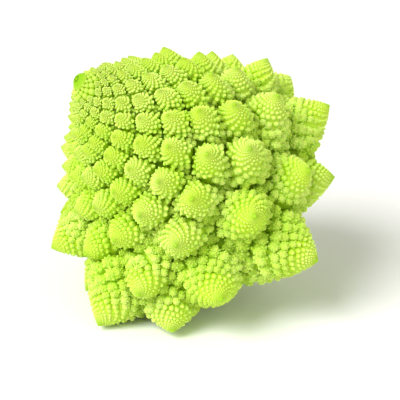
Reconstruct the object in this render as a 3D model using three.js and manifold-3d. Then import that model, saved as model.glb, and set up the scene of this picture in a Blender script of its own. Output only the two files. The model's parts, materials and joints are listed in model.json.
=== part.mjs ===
// A romanesco head, lying as it was cut, with its tip up and to the left.
// Millimetres, +Z up. The origin is at the middle of the footprint, on the surface it lies on.
//
// The head and every floret on it grow by one rule: each new floret turns by the golden angle
// and lies a little farther from the tip, in proportion to its distance. The curd is one
// piece that grew together; the cut stem with its branches below it is the other.

import * as THREE from 'three';
import { mergeVertices } from 'three/addons/utils/BufferGeometryUtils.js';
import Module from 'manifold-3d';

const wasm = await Module();
wasm.setup();

// Driving dimensions, in millimetres and degrees

// The growth axis starts at the tip and bends as it goes down, on a circle in this plane.
const TIP_AXIS = [-0.707, -0.412, 0.574];
const BEND_TOWARDS = [0.682, -0.185, 0.708];
const BEND_RADIUS = 221;
const TIP_TO_SURFACE = 123.1;

// Outline of the head through the floret tips, as a slope that turns with arc length.
const TIP_HALF_ANGLE = 55.3;
const TURN_PER_MM = 0.221;
// The head is a little flatter on one side.
const FLAT_SIDE = 0.045;
const FLAT_SIDE_TURN = 79;
const FLAT_SIDE_ARC = 75;

// The spiral of florets.
const GOLDEN_ANGLE = 137.508;
const FLORET_ZERO_ARC = 25.05;
const FLORET_ZERO_TURN = -101.6;
const GROWTH = 0.01812;
// Area of a floret cell in a triangular lattice gives its spacing squared with this factor.
const LATTICE = 1.155;
const LATE_GROWTH = 0.000136;
const LATE_FROM = 60;
const FIRST_FLORET = -62;
const LAST_FLORET = 93;
// The last florets stand in a rim, tucked in below the widest ones.
const RIM_FLORET = 86;
const RIM_INSET = 8.6;
const RIM_INSET_FLORETS = 2;
const RIM_DROP = 0.7;
// The large florets on the side that hangs free sag under their weight.
const SAG = 11;
const SAG_TURN = -75;
const SAG_FROM_ARC = 100;
const SAG_FULL_ARC = 120;
// Some florets stand off the rule, this far to the right (+X) and up.
const OFF_RULE = {
  40: [-3, 0], 46: [0, 1.5], 48: [-4, 0], 52: [1, -3], 53: [-1.5, 0], 56: [-3, 0], 60: [-3, -3],
  61: [-4, 0], 66: [0, -5], 68: [-1.5, -2.5], 70: [1.5, 2.5], 73: [1, -4.5], 75: [1, 4.5],
  76: [-4.5, -5], 78: [1, -5], 79: [-3.5, 4], 80: [4.5, 4], 81: [-8, -4], 83: [3.5, 3.5],
  84: [-4, 0], 86: [-4, -4], 87: [2, 0], 88: [7, 9], 89: [-12, 0], 92: [1.5, 3],
};

// One floret, in shares of the distance to its neighbours.
const FLORET_HALF_ANGLE = 56;
const FLORET_SIDE_ANGLE = 15;
const FLORET_RADIUS = 0.65;
const FLORET_ROOT = 0.45;
const BUMP = 0.05;
// Florets near the tip point along with it; they droop with the square of the arc.
const FLORET_TILT = 66;
const FLORET_DROOP = 0.0042;

// The core under the florets, and its underside as radius and height on the axis.
const CORE_DEPTH = 0.62;
const BUTTON_ARC = 5;
const BARE_BUTTON = 0.6;
const CORE_ARCS = [4, 8, 14, 22, 34, 50, 68, 88, 108, 122];
const CORE_SIDES = 24;
const UNDERSIDE = [[50, -103], [28, -108], [0, -109]];

// The cut stem, flaring into the branches that carry the florets.
const STEM_PROFILE = [[44, -106], [35, -111], [27, -119], [22, -130], [21, -150], [21, -180]];
const STEM_TOP = 8;
const STEM_SIDES = 36;
const BRANCHES = 9;
const BRANCH_RELIEF = 0.08;
const GAP = 0.4;
// Florets and stem are cut level with the surface that the head lies on.
const SURFACE_BLOCK = 400;

const RAD = Math.PI / 180;
const STEP = 0.5;
const SMALL_TURN = 0.01;
const SLIVER = 0.08;
const CURD_GREEN = 0xb4dc3c;
const STEM_PALE = 0xdde8b4;

// The bent growth axis

const tipAxis = new THREE.Vector3(...TIP_AXIS).normalize();
const side = new THREE.Vector3().crossVectors(tipAxis, new THREE.Vector3(...BEND_TOWARDS)).normalize();
const inner = new THREE.Vector3().crossVectors(side, tipAxis);

// A point given as radius, turn and height on a straight axis, moved onto the bent axis.
function onAxis(radius, turn, height) {
  const angle = -height / BEND_RADIUS;
  const bent = inner.clone().multiplyScalar(Math.cos(angle)).addScaledVector(tipAxis, -Math.sin(angle));
  return new THREE.Vector3(0, 0, TIP_TO_SURFACE)
    .addScaledVector(tipAxis, -BEND_RADIUS * Math.sin(angle))
    .addScaledVector(inner, -BEND_RADIUS * (1 - Math.cos(angle)))
    .addScaledVector(bent, radius * Math.cos(turn))
    .addScaledVector(side, radius * Math.sin(turn));
}

// The outline curve through the floret tips, walked in small steps of arc

const outline = [{ radius: 0, height: 0, slope: TIP_HALF_ANGLE * RAD }];
while (outline.at(-1).slope > 0) {
  const { radius, height, slope } = outline.at(-1);
  outline.push({
    radius: radius + STEP * Math.sin(slope),
    height: height - STEP * Math.cos(slope),
    slope: slope - STEP * TURN_PER_MM * RAD,
  });
}

function outlineAt(arc) {
  const i = Math.floor(arc / STEP);
  const share = arc / STEP - i;
  const mix = (name) => outline[i][name] * (1 - share) + outline[i + 1][name] * share;
  return { radius: mix('radius'), height: mix('height'), slope: mix('slope') };
}

// Distance between neighbouring florets at this arc.
function spacingAt(arc) {
  return Math.sqrt(2 * Math.PI * outlineAt(arc).radius * arc * GROWTH * LATTICE);
}

// How much the radius shrinks towards the flatter side.
function flatter(arc, turn) {
  return 1 - FLAT_SIDE * Math.cos(turn - FLAT_SIDE_TURN * RAD) * Math.min(arc / FLAT_SIDE_ARC, 1);
}

// Closed bodies from rings of points

// Rings all have the same number of points; the first and last are single points.
function skin(first, rings, last) {
  const n = rings[0].length;
  const points = [first, ...rings.flat(), last];
  const faces = [];
  for (let i = 0; i < n; i += 1) {
    const j = (i + 1) % n;
    faces.push(0, 1 + i, 1 + j);
    for (let r = 0; r + 1 < rings.length; r += 1) {
      const a = 1 + r * n;
      const b = a + n;
      faces.push(a + i, b + i, b + j, a + i, b + j, a + j);
    }
    const end = 1 + (rings.length - 1) * n;
    faces.push(points.length - 1, end + j, end + i);
  }
  const geometry = new THREE.BufferGeometry().setFromPoints(points);
  geometry.setIndex(faces);
  return geometry;
}

function solid(geometry) {
  const bare = geometry.clone();
  bare.deleteAttribute('normal');
  bare.deleteAttribute('uv');
  const merged = mergeVertices(bare);
  return new wasm.Manifold(new wasm.Mesh({
    numProp: 3,
    vertProperties: new Float32Array(merged.getAttribute('position').array),
    triVerts: new Uint32Array(merged.getIndex().array),
  }));
}

function toGeometry(body) {
  const mesh = body.getMesh();
  const geometry = new THREE.BufferGeometry();
  const positions = new THREE.BufferAttribute(new Float32Array(mesh.vertProperties), 3);
  geometry.setAttribute('position', positions);
  geometry.setIndex(Array.from(mesh.triVerts));
  return geometry;
}

// Florets

// How many sides and rings a floret gets, by its size.
function fineness(spacing) {
  if (spacing > 24) return [12, 3];
  if (spacing > 15) return [10, 3];
  if (spacing > 9) return [8, 2];
  return [5, 1];
}

// One floret, swollen all round by grow.
function floret(index, grow) {
  const outer = Math.min(index, RIM_FLORET);
  const inRim = index - outer;
  const late = Math.max(outer - LATE_FROM, 0);
  const arc = FLORET_ZERO_ARC * Math.exp(GROWTH * outer + LATE_GROWTH * late * late);
  const turn = (FLORET_ZERO_TURN - GOLDEN_ANGLE * index) * RAD;
  const spacing = spacingAt(arc);
  const at = outlineAt(arc);
  const radius = (at.radius - RIM_INSET * Math.min(inRim / RIM_INSET_FLORETS, 1)) * flatter(arc, turn);
  const height = at.height - RIM_DROP * inRim;
  const tilt = (FLORET_TILT - FLORET_DROOP * arc * arc) * RAD;
  const tip = onAxis(radius, turn, height);
  const out = tip.clone()
    .sub(onAxis(radius - Math.cos(tilt), turn, height - Math.sin(tilt)))
    .normalize();
  const hanging = Math.max(0, Math.cos(turn - SAG_TURN * RAD));
  const heavy = THREE.MathUtils.clamp((arc - SAG_FROM_ARC) / (SAG_FULL_ARC - SAG_FROM_ARC), 0, 1);
  const across = tip.clone().sub(onAxis(radius, turn + SMALL_TURN, height)).normalize();
  const up = new THREE.Vector3().crossVectors(across, out).normalize();
  const [right, rise] = OFF_RULE[index] ?? [0, 0];
  tip.x += right;
  tip.z += rise - SAG * hanging * heavy;
  const [sides, steps] = fineness(spacing);

  // A point at this share of the way down the floret's own outline, which turns from
  // FLORET_HALF_ANGLE at its tip to FLORET_SIDE_ANGLE.
  const half = FLORET_HALF_ANGLE * RAD;
  const last = FLORET_SIDE_ANGLE * RAD;
  const scale = (FLORET_RADIUS * spacing + grow) / (Math.cos(last) - Math.cos(half));
  const depth = scale * (Math.sin(half) - Math.sin(last));
  const place = (share, angle, lift) => {
    const slope = half + (last - half) * share;
    const wide = scale * (Math.cos(slope) - Math.cos(half)) + lift;
    const deep = scale * (Math.sin(half) - Math.sin(slope));
    return tip.clone()
      .addScaledVector(out, grow - deep)
      .addScaledVector(up, wide * Math.cos(angle))
      .addScaledVector(across, wide * Math.sin(angle));
  };
  const rings = [];
  for (let r = 1; r <= steps; r += 1) {
    const ring = [];
    for (let i = 0; i < sides; i += 1) {
      const angle = 2 * Math.PI * (i + 0.5 * r) / sides;
      const raised = steps > 1 && (i + Math.floor(r / 2)) % 2 ? 1 : -1;
      ring.push(place(r / steps, angle, raised * BUMP * spacing * r / steps));
    }
    rings.push(ring);
  }
  const end = tip.clone().addScaledVector(out, -FLORET_ROOT * spacing - depth);
  return skin(tip.clone().addScaledVector(out, grow), rings, end);
}

// The core that the florets grow on, closed by the underside

function core(grow) {
  const turns = Array.from({ length: CORE_SIDES }, (_, i) => 2 * Math.PI * i / CORE_SIDES);
  const rings = CORE_ARCS.map((arc) => {
    const { radius, height, slope } = outlineAt(arc);
    const started = Math.min(1, Math.max(0, arc / BUTTON_ARC - BARE_BUTTON));
    const depth = CORE_DEPTH * spacingAt(arc) * started - grow;
    return turns.map((turn) => onAxis(
      (radius - depth * Math.cos(slope)) * flatter(arc, turn),
      turn,
      height - depth * Math.sin(slope),
    ));
  });
  const below = UNDERSIDE.map(([radius, height]) => [radius, height - grow]);
  for (const [radius, height] of below.slice(0, -1)) {
    rings.push(turns.map((turn) => onAxis(radius, turn, height)));
  }
  return skin(onAxis(0, 0, grow), rings, onAxis(0, 0, below.at(-1)[1]));
}

// The outer body alone, which fills the sealed gaps between floret roots.
function outerBody(body) {
  return body.decompose().reduce((a, b) => (b.volume() > a.volume() ? b : a));
}

// The whole curd.
function curd(grow, first) {
  const bodies = [solid(core(grow))];
  for (let index = first; index <= LAST_FLORET; index += 1) bodies.push(solid(floret(index, grow)));
  return outerBody(wasm.Manifold.union(bodies));
}

// The stem's outline is lobed by the branches that run up from it.
function stemBody() {
  const rings = STEM_PROFILE.map(([radius, height]) => {
    const relief = BRANCH_RELIEF * (radius - STEM_PROFILE.at(-1)[0]) / STEM_PROFILE.at(-1)[0];
    return Array.from({ length: STEM_SIDES }, (_, i) => {
      const turn = 2 * Math.PI * i / STEM_SIDES;
      return onAxis(radius * (1 + relief * Math.cos(BRANCHES * turn)), turn, height);
    });
  });
  return skin(onAxis(0, 0, STEM_PROFILE[0][1] + STEM_TOP), rings, onAxis(0, 0, STEM_PROFILE.at(-1)[1]));
}

const block = new THREE.BoxGeometry(SURFACE_BLOCK, SURFACE_BLOCK, SURFACE_BLOCK);
block.translate(0, 0, -SURFACE_BLOCK / 2);
const under = solid(block);

const head = outerBody(curd(0, FIRST_FLORET).subtract(under).simplify(SLIVER));
const stem = solid(stemBody()).subtract(curd(GAP, LATE_FROM)).subtract(under);

// The footprint's middle goes to the origin.
const box = wasm.Manifold.union([head, stem]).boundingBox();
const middle = [(box.min[0] + box.max[0]) / 2, (box.min[1] + box.max[1]) / 2];

const model = new THREE.Group();
for (const [name, body, color, roughness] of [
  ['head', head, CURD_GREEN, 0.5],
  ['stem', stem, STEM_PALE, 0.6],
]) {
  const material = new THREE.MeshStandardMaterial({ color, roughness, metalness: 0 });
  const mesh = new THREE.Mesh(toGeometry(body), material);
  mesh.name = name;
  mesh.position.set(-middle[0], -middle[1], 0);
  model.add(mesh);
}

export default model;
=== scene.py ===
# %% [markdown]
# # A romanesco head
#
# A romanesco is a flower head that copies itself. The head is a cone of florets, each floret
# is a cone of buds, and each large bud is a cone of smaller buds. This lesson grows it from
# that rule with numpy, and gives it a waxy, slightly translucent green skin.
#
# A plain solid model of the head comes with the lesson.

# %% Load the frame
import bpy
import json
import math
import numpy as np
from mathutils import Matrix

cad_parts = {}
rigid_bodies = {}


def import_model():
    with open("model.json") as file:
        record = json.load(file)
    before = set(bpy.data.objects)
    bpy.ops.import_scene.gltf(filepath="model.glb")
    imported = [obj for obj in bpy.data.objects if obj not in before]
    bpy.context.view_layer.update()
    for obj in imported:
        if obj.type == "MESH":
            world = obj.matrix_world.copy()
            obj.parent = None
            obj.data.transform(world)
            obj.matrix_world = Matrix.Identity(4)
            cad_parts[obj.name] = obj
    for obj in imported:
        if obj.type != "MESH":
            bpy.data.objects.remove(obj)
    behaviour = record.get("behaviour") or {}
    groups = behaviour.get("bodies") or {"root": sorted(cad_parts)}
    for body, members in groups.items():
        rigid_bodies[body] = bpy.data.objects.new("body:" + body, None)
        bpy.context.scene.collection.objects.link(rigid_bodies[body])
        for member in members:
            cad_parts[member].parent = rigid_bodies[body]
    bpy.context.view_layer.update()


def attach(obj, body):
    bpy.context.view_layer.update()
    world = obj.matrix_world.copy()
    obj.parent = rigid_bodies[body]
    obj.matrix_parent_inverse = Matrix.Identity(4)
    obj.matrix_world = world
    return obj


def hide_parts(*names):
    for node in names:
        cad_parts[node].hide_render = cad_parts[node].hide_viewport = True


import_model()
MM = 0.001
rad = math.radians

# %% [markdown]
# ## The growth axis
#
# A head grows outward from its tip. A straight axis would make a neat toy cone, and the real
# head bends as it grows, so the axis here is an arc of a circle. Points are first given as on
# a straight axis, by radius, turn and height, and one function moves them onto the arc. All
# lengths are in millimetres until the meshes are made.

# %% The axis
TIP_AXIS = np.array([-0.707, -0.412, 0.574])
BEND_TOWARDS = np.array([0.682, -0.185, 0.708])
BEND_RADIUS = 221.0
TIP_TO_SURFACE = 123.1
FOOTPRINT_MIDDLE = np.array([52.29, 39.05, 0.0])
UPWARD, LEFTWARD = np.array([0.0, 0.0, 1.0]), np.array([-1.0, 0.0, 0.0])


def unit(v):
    """The same direction with length 1."""
    return v / np.linalg.norm(v)


tip_axis = unit(TIP_AXIS)
side_axis = unit(np.cross(tip_axis, BEND_TOWARDS))
inner_axis = np.cross(side_axis, tip_axis)
print("growth axis at the tip:", tip_axis.round(3))

# %% [markdown]
# Two soft corrections go in with the bend: the nose of the head lifts a little, and the side
# left of it is fuller than a circle. A bell curve fades each one out, which leaves no crease.

# %% Points on the bent axis
NOSE, NOSE_ARC = 3.2, 26.0
NOSE_LIFT, NOSE_LIFT_REACH = 1.4, 13.0
SHOULDER, SHOULDER_HEIGHT, SHOULDER_REACH = 2.8, -14.0, 12.0


def bell(distance, reach):
    """1 at distance 0, and next to nothing at twice the reach."""
    return np.exp(-(distance / reach) ** 2)


def rise(value, start, over):
    """0 up to the start, then straight up to 1."""
    return np.clip((value - start) / over, 0, 1)


def on_axis(radius, turn, height):
    """Moves points of a straight axis onto the bent one."""
    radius, turn, height = np.broadcast_arrays(radius, turn, height)
    angle = -height / BEND_RADIUS
    sine, cosine = np.sin(angle)[..., None], np.cos(angle)[..., None]
    start = TIP_TO_SURFACE * UPWARD - FOOTPRINT_MIDDLE
    along = -BEND_RADIUS * (sine * tip_axis + (1 - cosine) * inner_axis)
    outward = inner_axis * cosine - tip_axis * sine
    across = (outward * (radius * np.cos(turn))[..., None]
              + side_axis * (radius * np.sin(turn))[..., None])
    lift = NOSE_LIFT * bell(height - NOSE, NOSE_LIFT_REACH)[..., None]
    fuller = SHOULDER * bell(height - SHOULDER_HEIGHT, SHOULDER_REACH)[..., None]
    return start + along + across + lift * UPWARD + fuller * LEFTWARD


print("tip of the axis, mm:", on_axis(0.0, 0.0, 0.0).round(1))

# %% [markdown]
# ## The outline
#
# The florets' tips lie on one curve, turned about the axis. Its slope falls evenly with the
# arc from the tip, so the outline is a circle's arc too, and radius and height follow from
# the slope without any table. The head is slightly flatter on one side.

# %% The outline through the floret tips
TIP_HALF_ANGLE = rad(55.3)
TURN_PER_MM = rad(0.221)
FLAT_SIDE, FLAT_SIDE_TURN, FLAT_SIDE_ARC = 0.045, rad(79), 75.0


def outline_at(arc):
    """Radius, height and slope of the outline at this arc from the tip."""
    slope = TIP_HALF_ANGLE - TURN_PER_MM * arc
    radius = (np.cos(slope) - math.cos(TIP_HALF_ANGLE)) / TURN_PER_MM
    height = -(math.sin(TIP_HALF_ANGLE) - np.sin(slope)) / TURN_PER_MM
    return radius, height, slope


def nose_at(arc):
    """How far the tip of the head stands out over the outline."""
    return NOSE * bell(arc, NOSE_ARC)


def flatter(arc, turn):
    """What the flat side leaves of the radius."""
    return 1 - FLAT_SIDE * np.cos(turn - FLAT_SIDE_TURN) * np.minimum(arc / FLAT_SIDE_ARC, 1)


print("radius at an arc of 131 mm:", round(float(outline_at(131.0)[0]), 1))

# %% [markdown]
# ## Where each floret stands
#
# Every new floret turns by the golden angle from the last one and stands a little farther
# from the tip, in proportion to its distance. That alone gives the spirals. Outer florets
# droop, and the heaviest sag. A real head also has florets that stray from the rule, and a
# short list moves those sideways and up, as seen from the front. The numbers are those of
# the solid model, so the fine florets grow where its plain ones stand, but for the two soft
# corrections near the nose.

# %% Floret numbers
GOLDEN_ANGLE = rad(137.508)
LATTICE = 1.155
FLORET_ZERO_ARC, FLORET_ZERO_TURN = 25.05, rad(-101.6)
GROWTH, LATE_GROWTH, LATE_FROM = 0.01812, 0.000136, 60
FIRST_FLORET, LAST_FLORET, RIM_FLORET = -96, 93, 86
RIM_INSET, RIM_INSET_FLORETS, RIM_DROP = 8.6, 2, 0.7
SAG, SAG_TURN, SAG_FROM_ARC, SAG_FULL_ARC = 11.0, rad(-75), 100.0, 120.0
FLORET_TILT, FLORET_DROOP = 66.0, 0.0042
SMALL_TURN = 0.01
OFF_RULE = {
    40: (-3, 0), 46: (0, 1.5), 48: (-4, 0), 52: (1, -3), 53: (-1.5, 0), 56: (-3, 0), 60: (-3, -3),
    61: (-4, 0), 66: (0, -5), 68: (-1.5, -2.5), 70: (1.5, 2.5), 73: (1, -4.5), 75: (1, 4.5),
    76: (-4.5, -5), 78: (1, -5), 79: (-3.5, 4), 80: (4.5, 4), 81: (-8, -4), 83: (3.5, 3.5),
    84: (-4, 0), 86: (-4, -4), 87: (2, 0), 88: (7, 9), 89: (-12, 0), 92: (1.5, 3),
}
print("florets off the rule:", len(OFF_RULE))

# %% The place of one floret


def spacing_at(arc):
    """Distance between neighbouring florets at this arc."""
    return np.sqrt(2 * math.pi * outline_at(arc)[0] * arc * GROWTH * LATTICE)


def floret_place(index):
    """Tip, outward, upward and sideways axis, and spacing of one floret."""
    outer = min(index, RIM_FLORET)
    in_rim = index - outer
    late = max(outer - LATE_FROM, 0)
    arc = FLORET_ZERO_ARC * math.exp(GROWTH * outer + LATE_GROWTH * late ** 2)
    turn = FLORET_ZERO_TURN - GOLDEN_ANGLE * index
    at_radius, at_height, _ = outline_at(arc)
    radius = (at_radius - RIM_INSET * min(in_rim / RIM_INSET_FLORETS, 1)) * flatter(arc, turn)
    height = at_height - RIM_DROP * in_rim + nose_at(arc)
    tilt = rad(FLORET_TILT - FLORET_DROOP * arc * arc)
    tip = on_axis(radius, turn, height)
    out = unit(tip - on_axis(radius - math.cos(tilt), turn, height - math.sin(tilt)))
    across = unit(tip - on_axis(radius, turn + SMALL_TURN, height))
    hanging = max(0.0, math.cos(turn - SAG_TURN))
    heavy = rise(arc, SAG_FROM_ARC, SAG_FULL_ARC - SAG_FROM_ARC)
    right, higher = OFF_RULE.get(index, (0, 0))
    tip = tip + np.array([right, 0, higher - SAG * hanging * heavy])
    return {"index": index, "tip": tip, "out": out, "up": unit(np.cross(across, out)),
            "across": across, "spacing": float(spacing_at(arc))}


florets = [floret_place(i) for i in range(FIRST_FLORET, LAST_FLORET + 1)]
widest = max(f["spacing"] for f in florets)
print("florets:", len(florets), "widest spacing, mm:", round(widest, 1))

# %% [markdown]
# ## The shape of a floret
#
# A floret is a small copy of the head: a pointed cone whose sides curve in. Its outline is
# given once for a spacing of 1 and scaled for each floret. The second function reads it the
# other way round, and later tells which buds lie inside a neighbour.

# %% A floret's outline, in shares of its spacing
FLORET_HALF_ANGLE, FLORET_SIDE_ANGLE, FLORET_RADIUS = rad(56), rad(15), 0.65
PROFILE_SCALE = FLORET_RADIUS / (math.cos(FLORET_SIDE_ANGLE) - math.cos(FLORET_HALF_ANGLE))
FLORET_END = 1.42
LOWEST_SINE = -0.05
ABOVE_TIP = -1.0


def floret_outline(arc):
    """Radius, depth and slope at this arc down a floret."""
    slope = FLORET_HALF_ANGLE - arc / PROFILE_SCALE
    radius = PROFILE_SCALE * (np.cos(slope) - math.cos(FLORET_HALF_ANGLE))
    depth = PROFILE_SCALE * (math.sin(FLORET_HALF_ANGLE) - np.sin(slope))
    return radius, depth, slope


def radius_at_depth(depth):
    """Radius of the outline at this depth, and less than nothing above the tip."""
    sine = np.clip(math.sin(FLORET_HALF_ANGLE) - depth / PROFILE_SCALE, LOWEST_SINE, 1)
    radius = PROFILE_SCALE * (np.cos(np.arcsin(sine)) - math.cos(FLORET_HALF_ANGLE))
    return np.where(depth <= 0, ABOVE_TIP, radius)


end_radius, end_depth, _ = floret_outline(FLORET_END)
print("floret radius and depth at its end:", round(end_radius, 2), round(end_depth, 2))

# %% [markdown]
# ## Bud templates
#
# A bud is a low pointed cone with a soft edge. Some twenty thousand of them cover the head.
# A bump map could paint them, but the outline of every floret would stay smooth, so they are
# real triangles, copied from a few templates. The smallest get few sides, because nobody can
# count them. Each vertex keeps a crest mark, from 1 on the bud's tip to 0 at its foot.

# %% Rings to a closed mesh


def rings_to_mesh(rings, top, bottom):
    """Points and triangles of a closed shape from rings, with a point above and below."""
    n = len(rings[0])
    points = [top] + [p for ring in rings for p in ring] + [bottom]
    faces = []
    for i in range(n):
        j = (i + 1) % n
        faces.append((0, 1 + i, 1 + j))
        for r in range(len(rings) - 1):
            a, b = 1 + r * n, 1 + (r + 1) * n
            faces += [(a + i, b + i, b + j), (a + i, b + j, a + j)]
        end = 1 + (len(rings) - 1) * n
        faces.append((len(points) - 1, end + j, end + i))
    return np.array(points, float), np.array(faces)


BUD_ROOT, CREST_FALL = 0.8, 1.1


def bud(sides, levels):
    """A bud of radius 1 with its tip at height 0; levels are pairs of radius and height."""
    rings = []
    for r, (radius, height) in enumerate(levels):
        turns = 2 * math.pi * (np.arange(sides) + 0.5 * r) / sides
        rings.append([(radius * math.cos(t), radius * math.sin(t), height) for t in turns])
    points, faces = rings_to_mesh(rings, (0, 0, 0), (0, 0, levels[-1][1] - BUD_ROOT))
    # The crest mark, 1 at the tip and 0 at the foot, later paints a highlight on the tip and shade
    # at the foot.
    return points, faces, np.clip(1 + points[:, 2] / CREST_FALL, 0, 1)


print("triangles in a bud of 6 sides and 2 rings:", len(bud(6, [(0.5, -0.4), (1.0, -1.0)])[1]))

# %% [markdown]
# The largest buds, low on the outer florets, are cones of smaller buds themselves. One more
# turn of the same rule sets little four-sided knobs on a plain cone. Going one level further
# would cost millions of triangles for details finer than a grain of sand.

# %% A bud with knobs of its own
KNOB_COUNT, KNOB_SIDES = 23, 4
KNOB_START, KNOB_GROWTH = 0.20, 0.078
KNOB_SPREAD, KNOB_CURL, KNOB_FALL, KNOB_STEEPER = 0.80, 0.10, 0.38, 0.22
KNOB_WIDTH, KNOB_WIDENING = 0.0575, 0.1656
KNOB_OUTWARD, KNOB_UPWARD = 0.66, 0.75
KNOB_TIP, KNOB_FOOT = 0.55, 1.4
# Crest marks of a knob's tip, sides and foot, and of the cone under the knobs; they later paint
# highlight and shade.
KNOB_CRESTS = (1.0, 0.8, 0.4)
KNOBBED_CONE = [(0.30, -0.20), (0.64, -0.60), (0.92, -1.2)]
KNOBBED_SINK, CONE_CREST, CONE_CREST_RANGE = 0.04, 0.38, 0.5


def knobbed():
    """A large pointed bud with knobs set by the golden angle."""
    points, faces, crest = bud(8, KNOBBED_CONE)
    points[:, 2] -= KNOBBED_SINK
    shapes, triangles, crests = [points], [faces], [CONE_CREST + CONE_CREST_RANGE * crest]
    total = len(points)
    tip_crest, side_crest, foot_crest = KNOB_CRESTS
    for k in range(KNOB_COUNT):
        arc, turn = KNOB_START * math.exp(KNOB_GROWTH * k), GOLDEN_ANGLE * k
        radius = arc * (KNOB_SPREAD - KNOB_CURL * arc)
        height = -arc * (KNOB_FALL + KNOB_STEEPER * arc)
        width = KNOB_WIDTH + KNOB_WIDENING * arc
        c, s = math.cos(turn), math.sin(turn)
        axis = np.array([c * KNOB_OUTWARD, s * KNOB_OUTWARD, KNOB_UPWARD])
        u = np.array([-s, c, 0])
        v = np.cross(axis, u)
        base = np.array([radius * c, radius * s, height])
        ring = [base + width * (math.cos(t) * u + math.sin(t) * v) - KNOB_TIP * width * axis
                for t in np.arange(KNOB_SIDES) * 2 * math.pi / KNOB_SIDES]
        shape, faces = rings_to_mesh([ring], base + KNOB_TIP * width * axis,
                                     base - KNOB_FOOT * width * axis)
        shapes.append(shape)
        triangles.append(faces + total)
        crests.append(np.array([tip_crest] + [side_crest] * KNOB_SIDES + [foot_crest]))
        total += len(shape)
    return np.concatenate(shapes), np.concatenate(triangles), np.concatenate(crests)


BUDS = {
    "grain": bud(5, [(0.55, -0.34), (1.0, -1.1)]),
    "small": bud(6, [(0.33, -0.24), (0.70, -0.62), (1.0, -1.2)]),
    "large": bud(8, [(0.24, -0.22), (0.62, -0.60), (1.0, -1.15)]),
    "knobbed": knobbed(),
}
print("triangles in each bud:", {name: len(mesh[1]) for name, mesh in BUDS.items()})

# %% [markdown]
# ## Buds on a floret
#
# The buds follow the head's own rule, packed tighter. A pure rule looks machined, so each
# bud strays a little, more so far from the floret's tip. The strays come from a sine of the
# bud's number and not from a random draw, so the head grows the same every time. Buds stand
# wider apart on the side that faces away from the head's tip, where a real floret is older.

# %% Places of the buds
BUD_GROWTH, BUD_START = 0.0145, 0.055
OUTER_SIDE = 0.24
FIRST_BUD_TURN = 2.4
WOBBLE = (12.9898, 78.233, 43758.5453)
STRAY_TURN, STRAY_ARC, STRAY_LIFT, STRAY_SIZE = 0.10, 5, 0.06, 0.12
BASE_SWELL, SWELL_FROM, SWELL_OVER = 0.06, 0.55, 0.5
BUD_LEAN, BUD_UPRIGHT = rad(9), rad(80)
LEAST_RADIUS = 0.01


def wobble(a, b):
    """A repeatable number from -1 to 1 for each pair, in place of a random draw."""
    v = np.sin(np.asarray(a) * WOBBLE[0] + np.asarray(b) * WOBBLE[1]) * WOBBLE[2]
    return 2 * (v - np.floor(v)) - 1


def buds_of(f, coarse):
    """Tips, axes, sizes and arcs of a floret's buds."""
    growth, index = BUD_GROWTH * coarse, f["index"]
    k = np.arange(int(math.log(FLORET_END / BUD_START) / growth))
    way = 1 if index % 2 else -1
    loose = (k / len(k)) ** 2
    turn = way * GOLDEN_ANGLE * k + FIRST_BUD_TURN * index
    turn = turn + STRAY_TURN * loose * wobble(k + 3, index)
    arc = BUD_START * np.exp(growth * (k + STRAY_ARC * loose * wobble(k, index)))
    arc = np.minimum(arc * (1 - OUTER_SIDE * np.cos(turn)), FLORET_END)
    radius, depth, slope = floret_outline(arc)
    step = np.sqrt(2 * math.pi * np.maximum(radius, LEAST_RADIUS) * arc * growth * LATTICE)
    lift = STRAY_LIFT * step * wobble(k + 7, index) + BASE_SWELL * rise(arc, SWELL_FROM, SWELL_OVER)
    radial = f["up"] * np.cos(turn)[:, None] + f["across"] * np.sin(turn)[:, None]
    lean = np.minimum(slope + BUD_LEAN, BUD_UPRIGHT)[:, None]
    axis = radial * np.cos(lean) + f["out"] * np.sin(lean)
    tip = f["tip"] + f["spacing"] * (radial * (radius + lift)[:, None] - f["out"] * depth[:, None])
    size = step * f["spacing"] * (1 + STRAY_SIZE * loose * wobble(k + 11, index))
    return tip, axis, size, arc


print("buds on a whole floret:", len(buds_of(florets[-1], 1.0)[0]))

# %% [markdown]
# ## What hides in the crowd
#
# Florets press into each other. Buds that lie inside a neighbour would never be seen, so
# they are left out, and their triangles are spent where they show. Near a neighbour's flank
# a floret lies in shade, and the same distance gives a mark that paints that shade as a deeper
# green.

# %% Hidden and crowded buds
CROWDED = 0.16
BURIED_SHARE, BURIED_DEPTH = 0.30, 1.5
NEIGHBOUR_REACH = 1.35


def neighbours(f):
    """Florets near enough to overlap this one."""
    return [o for o in florets if o is not f and np.linalg.norm(o["tip"] - f["tip"])
            < NEIGHBOUR_REACH * (o["spacing"] + f["spacing"])]


def beside(points, other):
    """Depth below another floret's tip, distance from its axis, and its radius there."""
    d = points - other["tip"]
    deep = -(d @ other["out"])
    away = np.linalg.norm(d + deep[:, None] * other["out"], axis=1)
    return deep, away, radius_at_depth(deep / other["spacing"]) * other["spacing"]


def buried(points, sizes, others):
    """True for buds that lie wholly inside another floret."""
    inside = np.zeros(len(points), bool)
    for o in others:
        deep, away, reach = beside(points, o)
        inside |= (away < reach - BURIED_SHARE * sizes) & (deep < BURIED_DEPTH * o["spacing"])
    return inside


def crowding(points, f, others):
    """How near points are to the flank of a neighbouring floret, from 0 to 1."""
    near = np.zeros(len(points))
    for o in others:
        deep, away, reach = beside(points, o)
        room = (away - reach) / (CROWDED * f["spacing"])
        near = np.maximum(near, np.where(deep > 0, np.clip(1 - room, 0, 1), 0))
    return near


print("neighbours of the last floret:", len(neighbours(florets[-1])))

# %% [markdown]
# ## Copies of a template
#
# Thousands of separate objects would be slow, so the copies are written straight into
# arrays: one product places all buds of a floret at once. Three growth marks go with every
# vertex: how near it is to a bud's crest, how near to the floret's tip, and how deep in
# shade. The skin material reads them later.

# %% Collect copies


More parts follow.
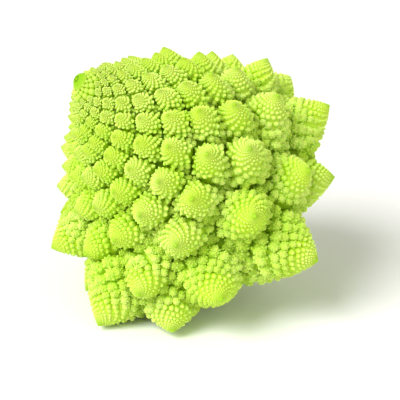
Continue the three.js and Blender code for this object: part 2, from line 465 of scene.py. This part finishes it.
class Pile:
    """Points, triangles and growth marks that become one mesh."""

    def __init__(self):
        self.points, self.faces, self.marks, self.count = [], [], [], 0

    def add(self, points, faces, marks):
        """Puts one more shape on the pile."""
        self.points.append(points)
        self.faces.append(faces + self.count)
        self.marks.append(marks)
        self.count += len(points)

    def triangles(self):
        """Number of triangles so far."""
        return sum(len(f) for f in self.faces)


BUD_WIDTH, BUD_HEIGHT = 0.57, 0.64
WIDER_FROM, WIDER_OVER, WIDER_BY = 0.8, 1.5, 0.08
WIDEST_FROM, WIDEST_BY = 3.2, 0.03
HIGHER_FROM, HIGHER_OVER, HIGHER_BY = 1.2, 1.6, 0.20
CREST_SIZE, CREST_LEAST = 3.0, 0.12
TIP_MARK, TIP_SPOT = 0.75, 0.13
SHADE, SHADE_FROM, SHADE_OVER = 0.5, 0.7, 0.7


def bud_scale(size):
    """Half width and height of a bud that stands this far from the next."""
    wide = BUD_WIDTH + WIDER_BY * rise(size, WIDER_FROM, WIDER_OVER)
    wide = wide + WIDEST_BY * rise(size, WIDEST_FROM, WIDER_OVER)
    high = BUD_HEIGHT + HIGHER_BY * rise(size, HIGHER_FROM, HIGHER_OVER)
    return size * wide, size * high


def frames_for(axis, hint):
    """Two directions square to each axis, turned from a hint direction."""
    u = np.cross(np.broadcast_to(hint, axis.shape), axis)
    u /= np.linalg.norm(u, axis=1)[:, None]
    return u, np.cross(axis, u)


def add_buds(pile, name, tip, axis, size, arc, hint):
    """Copies one template onto many places."""
    if len(tip) == 0:
        return
    shape, faces, crest = BUDS[name]
    u, v = frames_for(axis, hint)
    w, h = (v[:, None, None] for v in bud_scale(size))
    x, y, z = (shape[None, :, i, None] for i in range(3))
    points = tip[:, None] + w * (x * u[:, None] + y * v[:, None]) + h * z * axis[:, None]
    marks = np.zeros((len(tip), len(shape), 3))
    # The crest mark paints a highlight on the bud's tip and shade at its foot, weaker on small
    # buds.
    contrast = np.clip(size / CREST_SIZE, CREST_LEAST, 1)[:, None]
    marks[..., 0] = 1 - (1 - crest)[None] * contrast
    marks[..., 1] = TIP_MARK * bell(arc, TIP_SPOT)[:, None]
    # Painted shade, growing down the floret where it sinks between its neighbours.
    marks[..., 2] = SHADE * rise(arc, SHADE_FROM, SHADE_OVER)[:, None]
    offset = (np.arange(len(tip)) * len(shape))[:, None, None]
    pile.add(points.reshape(-1, 3), (faces[None] + offset).reshape(-1, 3), marks.reshape(-1, 3))


print("half width and height of a 3 mm bud:", [round(float(v), 2) for v in bud_scale(3.0)])

# %% [markdown]
# ## The body of a floret
#
# Under its buds a floret has a smooth body, seen only as the green between them. It follows
# the floret's outline a little way in. The very smallest florets round the head's tip are
# bodies alone: at that size a floret is one smooth grain.

# %% The body under a floret's buds
BARE_SPACING, ROUND_SPACING = 3.4, 6
BODY_SIDES, SMALL_BODY_SIDES = 20, 8
BODY_STEPS = (0.03, 0.06, 0.10, 0.18, 0.32, 0.5, 0.7, 0.9, 1.1, 1.3, 1.45)
BODY_END, BODY_ROOT = 1.5, 1.7
RELIEF, MORE_RELIEF, MOST_SUNK = 0.08, 0.08, 1.1
DEEPER_FROM, DEEPER_OVER = 0.2, 0.4
DARKER_FROM, DARKER_OVER = 0.75, 0.4
BODY_CREST, BODY_TIP_CREST, BARE_CREST = 0.35, 0.7, 0.30


def floret_body(f):
    """Points, triangles and marks of the smooth body."""
    spacing = f["spacing"]
    bare, large = spacing < BARE_SPACING, spacing > ROUND_SPACING
    sides = BODY_SIDES if large else SMALL_BODY_SIDES
    turns = 2 * math.pi * np.arange(sides) / sides
    radial = f["up"] * np.cos(turns)[:, None] + f["across"] * np.sin(turns)[:, None]
    rings, marks = [], [(BODY_TIP_CREST, TIP_MARK, 0)]
    for a in (BODY_STEPS if large else BODY_STEPS[1::2]):
        relief = 0.0 if bare else RELIEF + MORE_RELIEF * rise(a, DEEPER_FROM, DEEPER_OVER)
        sunk = relief * min(a, MOST_SUNK)
        arc = np.minimum(a * (1 - OUTER_SIDE * np.cos(turns)), BODY_END)
        radius, depth, slope = floret_outline(arc)
        radius, depth = radius - sunk * np.cos(slope), depth + sunk * np.sin(slope)
        rings.append(f["tip"] + spacing * (radial * radius[:, None] - f["out"] * depth[:, None]))
        # Painted shade: the body's crest mark falls to 0 lower down, so it darkens between the
        # buds; a bare floret is painted paler towards its tip, like a bud's crest.
        crest = BODY_CREST * (1 - rise(a, DARKER_FROM, DARKER_OVER))
        crest += BARE_CREST * max(1 - a, 0) if bare else 0
        shade = SHADE * rise(a, SHADE_FROM, SHADE_OVER)
        marks += [(crest, TIP_MARK * bell(a, TIP_SPOT), shade)] * sides
    marks.append((0, 0, 1))
    points, faces = rings_to_mesh(rings, f["tip"], f["tip"] - f["out"] * spacing * BODY_ROOT)
    return points, faces, np.array(marks)


print("triangles in a large floret's body:", len(floret_body(florets[-1])[1]))

# %% [markdown]
# ## Growing every floret
#
# Small florets get coarser buds, or their dots would be finer than a picture can show. The
# template goes by the size of the bud. The florets are dealt out over a few meshes of about
# the same size, because one mesh of a million triangles is slow to handle.

# %% Grow the florets
PILES = 6
BANDS = (("grain", 0.0, 1.1), ("small", 1.1, 2.2), ("large", 2.2, 3.9), ("knobbed", 3.9, 99.0))
COARSENESS = ((9, 1.0), (ROUND_SPACING, 1.6), (0, 2.6))
piles = [Pile() for _ in range(PILES)]
bud_count = dict.fromkeys(BUDS, 0)


def grow(f, pile):
    """All that one floret shows."""
    others, first = neighbours(f), len(pile.points)
    pile.add(*floret_body(f))
    coarse = next(c for above, c in COARSENESS if f["spacing"] > above)
    tip, axis, size, arc = buds_of(f, coarse)
    shown = ~buried(tip, size, others) & (tip[:, 2] >= -size) & (f["spacing"] >= BARE_SPACING)
    for name, low, high in BANDS:
        pick = shown & (size >= low) & (size < high)
        bud_count[name] += int(pick.sum())
        add_buds(pile, name, tip[pick], axis[pick], size[pick], arc[pick], f["up"])
    # Painted shade: a darker green where the floret meets a neighbour's flank.
    for points, marks in zip(pile.points[first:], pile.marks[first:]):
        marks[:, 2] = np.maximum(marks[:, 2], crowding(points, f, others))


for f in florets:
    grow(f, min(piles, key=Pile.triangles))
print("buds:", bud_count)
print("triangles in the florets:", sum(p.triangles() for p in piles))

# %% [markdown]
# ## The body of the head
#
# Between the florets one looks down onto the flesh that carries them. It is a smooth cone
# under the outline, closed below. It is marked as deep shade all over, so that a gap
# between florets reads as a dark crevice.

# %% The cone under the florets
CORE_DEPTH = 0.68
CORE_FROM, CORE_OVER = 3.0, 5.0
CORE_ARCS = np.concatenate([np.arange(1.5, 22, 2.5), np.arange(22, 120, 4.0), [122.0]])
CORE_RING = 96
UNDERSIDE = ((62, -101.5), (50, -103), (39, -106), (28, -108))
UNDERSIDE_MIDDLE = -109.0


def core_mesh(pile):
    """The smooth cone that the florets grow from."""
    turns = np.linspace(0, 2 * math.pi, CORE_RING, endpoint=False)
    rings = []
    for arc in CORE_ARCS:
        radius, height, slope = outline_at(arc)
        depth = CORE_DEPTH * spacing_at(arc) * rise(arc, CORE_FROM, CORE_OVER)
        rings.append(on_axis((radius - depth * math.cos(slope)) * flatter(arc, turns), turns,
                             height + nose_at(arc) - depth * math.sin(slope)))
    for radius, height in UNDERSIDE:
        rings.append(on_axis(radius, turns, height))
    top, bottom = on_axis(0.0, 0.0, 0.0), on_axis(0.0, 0.0, UNDERSIDE_MIDDLE)
    points, faces = rings_to_mesh(rings, top, bottom)
    pile.add(points, faces, np.array([(0.0, 0.0, 1.0)] * len(points)))


core_pile = Pile()
core_mesh(core_pile)
print("triangles in the cone:", core_pile.triangles())

# %% [markdown]
# ## The growing tip
#
# At the very tip the head still grows, and no floret has formed yet: there is a smooth,
# darker green button. It is flush with the grains round it. So it follows the head's
# outline, rounded off at the top, and dips below the grains at its edge.

# %% The button
BUTTON_ARCS = (0.4, 0.8, 1.3, 1.9, 2.6, 3.4, 4.2, 5.0, 5.8)
BUTTON_PROUD, BUTTON_DIP = 0.25, 1.1
BUTTON_ROUND, BUTTON_ROUND_ARC = 1.3, 1.6
BUTTON_FULLER = 0.45
BUTTON_CREST, BUTTON_GREEN, BUTTON_FADE = 0.35, 1.2, 0.9
BUTTON_ROOT = -9.0
BUTTON_SIDES = 32


def button_mesh(pile):
    """The smooth growing tip of the whole head."""
    turns = np.linspace(0, 2 * math.pi, BUTTON_SIDES, endpoint=False)
    rings, marks = [], [(BUTTON_CREST, BUTTON_GREEN, 0.0)]
    for arc in BUTTON_ARCS:
        share = arc / BUTTON_ARCS[-1]
        radius, height, slope = outline_at(arc)
        proud = BUTTON_PROUD - BUTTON_DIP * share ** 3
        fuller = BUTTON_FULLER * (1 - math.exp(-arc))
        height = height + nose_at(arc) - BUTTON_ROUND * bell(arc, BUTTON_ROUND_ARC)
        rings.append(on_axis(radius + fuller + proud * math.cos(slope), turns,
                             height + proud * math.sin(slope)))
        marks += [(BUTTON_CREST, BUTTON_GREEN - BUTTON_FADE * share ** 2, 0.0)] * BUTTON_SIDES
    marks.append((0, 0, 1))
    top = on_axis(0.0, 0.0, NOSE + BUTTON_PROUD - BUTTON_ROUND)
    points, faces = rings_to_mesh(rings, top, on_axis(0.0, 0.0, BUTTON_ROOT))
    pile.add(points, faces, np.array(marks))


button_mesh(core_pile)
print("triangles in the cone and button:", core_pile.triangles())

# %% [markdown]
# ## The stem
#
# The stem is thick and pale. Branches run up from it into the florets and leave ridges, and
# each leaf that was cut away leaves a low scar. It is out of sight from the front, so its
# shape follows what heads of this kind have. It is built as rings along a profile, with
# ridges, soft lumps and scars worked into the radius, so all of it shows in the outline too.

# %% Profile, ridges and scars
STEM_PROFILE = np.array([[46, -103], [40, -108], [35, -111], [30, -115], [27, -119], [24, -124],
                         [22, -130], [21.3, -140], [21, -150], [21, -165], [21, -180]], float)
STEM_STEPS, STEM_RING, BRANCHES = 90, 180, 9
STEM_NECK, STEM_INSET, STEM_TOP = 21, 0.012, -100.0
SCARS = ((0.5, -128, 5.5), (2.7, -134, 6.0), (4.6, -126, 5.0), (5.6, -142, 6.0), (1.6, -146, 6.0))
SCAR_HALF_TURN, SCAR_RISE, SCAR_DIP = 0.62, 0.06, 0.05
SCAR_EDGE, DIP_EDGE, DIP_BELOW = 6, 8, 0.5
SCAR_MIDDLE, SCAR_MARK = 0.5, 9
RIDGE, RIB, RIBS, RIB_SWAY, RIB_BENDS = 0.09, 0.004, 46, 2, 0.12
LUMPS = ((0.010, 5, 0.21), (0.006, 11, -0.33))


def stem_relief(radius, height, turns):
    """Share that ridges and lumps add to the radius, and what scars add."""
    ridges = RIDGE * max(radius - STEM_NECK, 0) / STEM_NECK * np.cos(BRANCHES * turns)
    lumps = sum(by * np.sin(around * turns + along * height) for by, around, along in LUMPS)
    ribs = RIB * np.sin(RIBS * turns + RIB_SWAY * np.sin(height * RIB_BENDS))
    scar = np.zeros_like(turns)
    for turn, middle, width in SCARS:
        around = (turns - turn + math.pi) % (2 * math.pi) - math.pi
        span = np.clip(1 - (around / SCAR_HALF_TURN) ** 2, 0, 1)
        along = (height - middle) / width
        scar += np.sqrt(span) * math.exp(-SCAR_EDGE * along ** 2) * SCAR_RISE
        scar -= span * math.exp(-DIP_EDGE * (along + DIP_BELOW) ** 2) * SCAR_DIP
    return ridges + lumps + ribs, scar


print("leaf scars:", len(SCARS))

# %% [markdown]
# The stem is cut at a slant, so that the head can lie on the cut. A boolean cut would leave
# one flat face with nothing on it. Here each line down the stem ends where it meets the
# surface, and rings from the rim to the middle fill the face. Their marks carry the ring of
# greener flesh that shows in a fresh cut.

# %% The stem, cut level
CUT_SHARES = (0.995, 0.96, 0.93, 0.88, 0.82, 0.72, 0.6, 0.45, 0.3, 0.15)


def cut_level(rings):
    """The same rings, with every line down the stem ended where it meets the surface."""
    rows, columns = rings.shape[:2]
    shorter = np.empty_like(rings)
    for i in range(columns):
        line = rings[:, i]
        below = int(np.argmax(line[:, 2] < 0))
        share = line[below - 1, 2] / (line[below - 1, 2] - line[below, 2])
        at = np.linspace(0, below - 1 + share, rows)
        for axis in range(3):
            shorter[:, i, axis] = np.interp(at, np.arange(rows), line[:, axis])
    shorter[-1, :, 2] = 0.0
    return shorter


def stem_mesh(pile):
    """The ridged stem and its cut face."""
    turns = np.linspace(0, 2 * math.pi, STEM_RING, endpoint=False)
    at, along = np.linspace(0, 1, STEM_STEPS), np.linspace(0, 1, len(STEM_PROFILE))
    rings, marks = [], [(0, 0, 1)]
    for step in at:
        radius, height = (np.interp(step, along, STEM_PROFILE[:, i]) for i in range(2))
        relief, scar = stem_relief(radius, height, turns)
        rings.append(on_axis(radius * (1 + relief + scar - STEM_INSET), turns, height))
        marks += [(float(v), 0, 1) for v in np.clip(SCAR_MIDDLE + SCAR_MARK * scar, 0, 1)]
    rings = list(cut_level(np.array(rings)))
    rim = rings[-1]
    middle = rim.mean(axis=0)
    for share in CUT_SHARES:
        rings.append(middle + share * (rim - middle))
        marks += [(share, 1, 0)] * STEM_RING
    marks.append((0, 1, 0))
    points, faces = rings_to_mesh(rings, on_axis(0.0, 0.0, STEM_TOP), middle)
    pile.add(points, faces, np.array(marks, float))


stem_pile = Pile()
stem_mesh(stem_pile)
print("triangles in the stem:", stem_pile.triangles())

# %% [markdown]
# ## From arrays to Blender meshes
#
# The arrays become mesh data in one call each. The head rests on its own florets, whose tips
# press flat, so nothing is let below the surface. The growth marks go in as a colour
# attribute, which a material can read at each point.

# %% Make the pieces


def piece(name, pile, node):
    """One Blender mesh that stands in for a node of the solid model."""
    points, faces = np.concatenate(pile.points), np.concatenate(pile.faces)
    marks = np.concatenate(pile.marks)
    points[:, 2] = np.maximum(points[:, 2], 0.0)
    mesh = bpy.data.meshes.new(name)
    mesh.vertices.add(len(points))
    mesh.vertices.foreach_set("co", (points * MM).astype(np.float32).ravel())
    mesh.loops.add(3 * len(faces))
    mesh.loops.foreach_set("vertex_index", faces.astype(np.int32).ravel())
    mesh.polygons.add(len(faces))
    mesh.polygons.foreach_set("loop_start", np.arange(0, 3 * len(faces), 3, dtype=np.int32))
    mesh.update(calc_edges=True)
    mesh.polygons.foreach_set("use_smooth", np.ones(len(faces), bool))
    growth = mesh.color_attributes.new("growth", "FLOAT_COLOR", "POINT")
    growth.data.foreach_set("color", np.c_[marks, np.ones(len(marks))].astype(np.float32).ravel())
    made = bpy.data.objects.new(name, mesh)
    bpy.context.scene.collection.objects.link(made)
    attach(made, "root")
    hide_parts(node)
    return made


curd_pieces = [piece(f"florets_{i + 1}", p, "head") for i, p in enumerate(piles)]
core_piece = piece("core", core_pile, "head")
stem_piece = piece("stem_body", stem_pile, "stem")
print("pieces:", len(curd_pieces) + 2)

# %% [markdown]
# ## Shader sums
#
# A tree of shader nodes is easier to read as a sum than as boxes and wires. One small class
# wraps a socket, so that plain operators add Math nodes. Every other node comes from one
# method, which takes the node's type, its settings and its sockets.

# %% A socket that can be added and multiplied


class Wire:
    """A shader socket that takes part in sums like a number."""

    def __init__(self, tree, socket=None):
        self.tree, self.socket = tree, socket

    def node(self, kind, settings=None, sockets=None, out=0):
        """Adds any node: its settings first, then the values or links of its sockets."""
        made = self.tree.nodes.new(kind)
        for key, value in (settings or {}).items():
            setattr(made, key, value)
        for key, value in (sockets or {}).items():
            if isinstance(value, Wire):
                self.tree.links.new(value.socket, made.inputs[key])
            else:
                made.inputs[key].default_value = value
        return Wire(self.tree, made.outputs[out] if made.outputs else None)

    def output(self, number):
        """Another output of the node that this wire leaves."""
        return Wire(self.tree, self.socket.node.outputs[number])

    def math(self, operation, a, b):
        """A Math node."""
        return self.node("ShaderNodeMath", {"operation": operation}, {0: a, 1: b})

    def __add__(self, other):
        return self.math("ADD", self, other)

    def __sub__(self, other):
        return self.math("SUBTRACT", self, other)

    def __rsub__(self, other):
        return self.math("SUBTRACT", other, self)

    def __mul__(self, other):
        return self.math("MULTIPLY", self, other)

    __radd__, __rmul__ = __add__, __mul__

    def ramp(self, low, high):
        """0 below low, 1 above high, smooth between."""
        return self.node("ShaderNodeMapRange", {"interpolation_type": "SMOOTHSTEP"},
                         {0: self, 1: low, 2: high, 3: 0.0, 4: 1.0})

    def mix(self, a, b):
        """Colour a where this is 0, colour b where it is 1."""
        return self.node("ShaderNodeMix", {"data_type": "RGBA"}, {0: self, 6: a, 7: b}, out=2)

    def noise(self, scale, detail):
        """Soft noise in the object's own coordinates, scale in patches per metre."""
        place = self.node("ShaderNodeTexCoord", out=3)
        return self.node("ShaderNodeTexNoise", {}, {"Vector": place, "Scale": scale,
                                                    "Detail": detail})

    def bump(self, height, strength, distance):
        """A normal that leans as if the surface had this height."""
        return self.node("ShaderNodeBump", {}, {"Strength": strength, "Distance": distance,
                                                "Height": height})

    def growth_marks(self):
        """The three growth marks of the mesh: crest, tip and depth."""
        marks = self.node("ShaderNodeAttribute", {"attribute_name": "growth"})
        split = self.node("ShaderNodeSeparateColor", {}, {0: marks})
        return split, split.output(1), split.output(2)


print("sums that a wire knows:", [w for w in ("__add__", "__sub__", "__mul__") if hasattr(Wire, w)])

# %% [markdown]
# Colours are easiest to judge on a screen, where they run from 0 to 255, and shaders want
# them linear. A skin starts as an empty tree and ends in one Principled shader. The
# subsurface scale of both skins is a little under a millimetre, less than a small bud.

# %% Start and finish of a skin
SKIN_DEPTH = 0.0009


def rgb(red, green, blue):
    """A screen colour from 0 to 255 as the linear colour that shaders use."""
    linear = [((v / 255 + 0.055) / 1.055) ** 2.4 if v > 10 else v / 255 / 12.92
              for v in (red, green, blue)]
    return (*linear, 1.0)


def skin(name):
    """An empty material and the first wire of its tree."""
    material = bpy.data.materials.new(name)
    material.use_nodes = True
    material.node_tree.nodes.clear()
    return material, Wire(material.node_tree)


def finish_skin(wire, sockets):
    """One Principled shader with these values and wires, as the surface."""
    shader = wire.node("ShaderNodeBsdfPrincipled", {}, sockets)
    wire.node("ShaderNodeOutputMaterial", {}, {0: shader})


print("lime green, linear:", [round(v, 2) for v in rgb(186, 232, 20)])

# %% [markdown]
# ## The curd's skin
#
# Romanesco is lime green, and greenest at the smooth tip of every floret. Broad patches vary
# it, as no head ripens evenly. Light and shade are painted over that: a bud's crest is painted
# paler as a highlight, and its foot, the gaps between buds and the crevices between florets
# are painted a darker, stronger green as shade. The layers are mixed one over the other, each
# by its own mark or noise. The flesh is full of water, so light enters and comes out a little
# farther on, which softens and saturates the shade: subsurface scattering, strongest in green
# and weakest in blue.

# %% Curd material


def curd_skin():
    """The green of the florets."""
    material, w = skin("curd_green")
    crest, tip, deep = w.growth_marks()
    patches, grain = w.noise(38.0, 3.0), w.noise(1800.0, 3.0)
    # Painted light: each bud's crest is painted paler as a highlight, and its foot darker as
    # painted shade.
    colour = crest.ramp(0.1, 0.9).mix(rgb(158, 197, 0), rgb(220, 248, 124))
    colour = (patches.ramp(0.38, 0.62) * 0.45).mix(colour, rgb(186, 232, 20))
    # Painted shade: darker low on each floret, against a neighbour's flank and on the head's body
    # between florets.
    colour = (deep.ramp(0.15, 1.0) * 0.55).mix(colour, rgb(152, 188, 0))
    # Painted shade: darkest green where the crest mark is near 0, at bud feet, low on floret bodies
    # and on the head's body in the gaps.
    colour = ((1 - crest.ramp(0.0, 0.16)) * 0.7).mix(colour, rgb(74, 112, 0))
    colour = tip.ramp(0.1, 1.3).mix(colour, rgb(124, 184, 0))
    colour = (grain.ramp(0.5, 0.8) * 0.15).mix(colour, rgb(236, 250, 110))
    finish_skin(w, {
        "Base Color": colour, "Roughness": 0.42 + 0.18 * grain,
        "Normal": w.bump(w.noise(2600.0, 2.0), 0.35, 0.0002),
        "Subsurface Weight": 0.35, "Subsurface Radius": (0.6, 1.0, 0.1),
        "Subsurface Scale": SKIN_DEPTH, "Specular IOR Level": 0.1})
    return material


curd_material = curd_skin()
for made in curd_pieces + [core_piece]:
    made.data.materials.append(curd_material)
print("nodes in the curd's skin:", len(curd_material.node_tree.nodes))

# %% [markdown]
# ## The stem's skin
#
# The rind is pale green with a fine grain, and a leaf scar is corky. The cut face is moist
# and nearly white, with a greener ring near the rim. The first mark gives the scars on the
# rind and, on the cut, the share of the way from the middle to the rim. The second mark tells
# rind from cut. A second material for the cut would meet the rind in a hard line.

# %% Stem material


def stem_skin():
    """Pale rind, corky scars and a moist cut."""
    material, w = skin("stem_pale")
    scar, cut, _ = w.growth_marks()
    patches, fibres = w.noise(90.0, 4.0), w.noise(900.0, 3.0)
    rind = patches.ramp(0.3, 0.7).mix(rgb(196, 216, 122), rgb(220, 232, 160))
    rind = (scar.ramp(0.55, 0.95) * 0.6).mix(rind, rgb(226, 222, 180))
    rind = (fibres.ramp(0.5, 0.75) * 0.25).mix(rind, rgb(168, 190, 100))
    ring = scar.ramp(0.72, 0.82) - scar.ramp(0.88, 0.96)
    flesh = ring.mix(rgb(232, 236, 196), rgb(196, 214, 140))
    flesh = (fibres.ramp(0.45, 0.8) * 0.4).mix(flesh, rgb(214, 222, 168))
    finish_skin(w, {
        "Base Color": cut.mix(rind, flesh), "Roughness": 0.4 + 0.2 * patches,
        "Normal": w.bump(fibres, 0.4, 0.0003),
        "Subsurface Weight": 0.4, "Subsurface Radius": (0.9, 1.0, 0.4),
        "Subsurface Scale": SKIN_DEPTH, "Specular IOR Level": 0.4})
    return material


stem_material = stem_skin()
stem_piece.data.materials.append(stem_material)
print("nodes in the stem's skin:", len(stem_material.node_tree.nodes))

# %% [markdown]
# ## The floor
#
# The head lies on a plain pale floor. A flat square would end in a hard horizon in a low
# view, so the floor is a round dish: flat far out past the head, then curved up at its rim.

# %% Floor
FLOOR_FLAT, FLOOR_CURVE, FLOOR_MIDDLE, FLOOR_SIDES = 2.2, 0.9, 1.0, 96
FLOOR_LEANS = [rad(v) for v in range(0, 76, 5)]


def floor_dish():
    """Points and faces of the floor, in metres."""
    turns = np.linspace(0, 2 * math.pi, FLOOR_SIDES, endpoint=False)
    sizes = [(FLOOR_MIDDLE, 0.0)] + [(FLOOR_FLAT + FLOOR_CURVE * math.sin(lean),
                                      FLOOR_CURVE * (1 - math.cos(lean))) for lean in FLOOR_LEANS]
    points, faces = [(0.0, 0.0, 0.0)], []
    for row, (reach, height) in enumerate(sizes):
        points += [(reach * math.cos(t), reach * math.sin(t), height) for t in turns]
        here = 1 + row * FLOOR_SIDES
        before = here - FLOOR_SIDES
        for i in range(FLOOR_SIDES):
            j = (i + 1) % FLOOR_SIDES
            if row:
                faces.append((here + i, here + j, before + j, before + i))
            else:
                faces.append((0, here + i, here + j))
    return points, faces


floor_points, floor_faces = floor_dish()
floor_mesh = bpy.data.meshes.new("floor")
floor_mesh.from_pydata(floor_points, [], floor_faces)
floor_mesh.polygons.foreach_set("use_smooth", [True] * len(floor_faces))
floor = bpy.data.objects.new("floor", floor_mesh)
bpy.context.scene.collection.objects.link(floor)
floor_material, floor_wire = skin("floor_white")
finish_skin(floor_wire, {
    "Base Color": (floor_wire.noise(8.0, 2.0) * 0.3).mix(rgb(244, 244, 244), rgb(236, 236, 238)),
    "Roughness": 0.6 + 0.1 * floor_wire.noise(300.0, 3.0), "Specular IOR Level": 0.3})
floor_mesh.materials.append(floor_material)
print("floor faces:", len(floor_faces))

# %% [markdown]
# ## Light
#
# One wide soft light comes from the upper left, and its shadows model the florets. A faint
# warm one from the right opens those shadows, and a pale surrounding does the rest. Suns are
# used, because a sun lights the whole floor evenly and leaves no bright pool around the head.
# The standard view keeps the strong lime green, which a filmic view would grey down.

# %% Lights and surrounding


def sun(name, place, power, softness, colour):
    """Even light from a direction; softness is the width of the lit patch of sky, in degrees."""
    data = bpy.data.lights.new(name, "SUN")
    data.energy, data.angle, data.color = power, rad(softness), colour
    made = bpy.data.objects.new(name, data)
    bpy.context.scene.collection.objects.link(made)
    flat = math.hypot(place[0], place[1])
    made.rotation_euler = (math.atan2(flat, place[2]), 0, math.atan2(place[0], -place[1]))
    return made


key = sun("key", (-0.7, -0.55, 0.85), 3.55, 40, (1.0, 0.985, 1.0))
fill = sun("fill", (0.8, -0.9, 0.45), 0.8, 70, (1.0, 0.99, 0.8))
world = bpy.data.worlds.new("studio")
world.use_nodes = True
background = world.node_tree.nodes["Background"]
background.inputs[0].default_value = (1.0, 1.0, 0.9, 1.0)
background.inputs[1].default_value = 0.45
bpy.context.scene.world = world
bpy.context.scene.view_settings.view_transform = "Standard"
print("key over fill:", round(key.data.energy / fill.data.energy, 1))

# %% [markdown]
# ## Camera
#
# The head is seen from a little above, from three quarters of a metre away, through a long
# lens, which keeps the far florets nearly as large as the near ones.

# %% Camera
camera_data = bpy.data.cameras.new("camera")
camera_data.lens, camera_data.sensor_width = 126.0, 36.0
camera = bpy.data.objects.new("camera", camera_data)
bpy.context.scene.collection.objects.link(camera)
camera.location = (0.00426, -0.6786, 0.3094)
camera.rotation_euler = (rad(69), 0, 0)
bpy.context.scene.camera = camera
print("camera distance, mm:", round(camera.location.length / MM))
